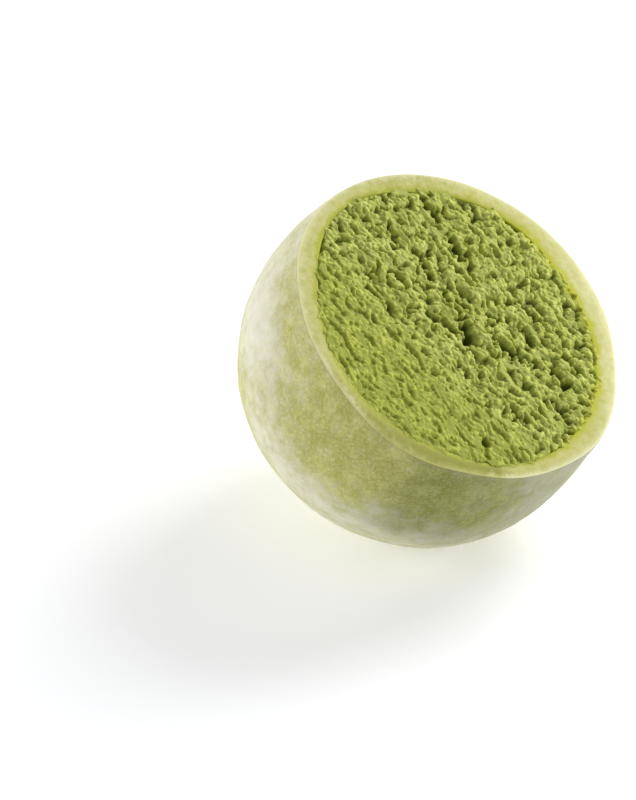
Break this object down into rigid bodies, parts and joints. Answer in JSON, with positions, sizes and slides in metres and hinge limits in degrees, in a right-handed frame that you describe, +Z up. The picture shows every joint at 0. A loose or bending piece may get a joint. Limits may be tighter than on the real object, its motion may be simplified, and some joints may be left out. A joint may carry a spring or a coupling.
{
  "type": "mochi ice cream, cut open",
  "caption": "Green tea mochi with its top cut off: a soft floury skin of rice dough filled with craggy green ice cream, lying on its round side so that the cut leans over.",
  "frame": {"origin": "middle of the small flat spot that the round underside rests on", "axes": "+Z up, away from the surface it rests on; the cut faces up and leans down towards the +X side and the front, -Y"},
  "size_m": [0.0467, 0.0469, 0.0408],
  "materials": {
    "rice_dough": "pale green rice dough, soft and slightly see-through at its cut edge, dusted with white starch",
    "green_ice_cream": "matt green tea ice cream, torn and craggy where it was cut"
  },
  "bodies": {
    "root": {"mochi_skin": "rice_dough", "ice_cream": "green_ice_cream"}
  },
  "joints": []
}
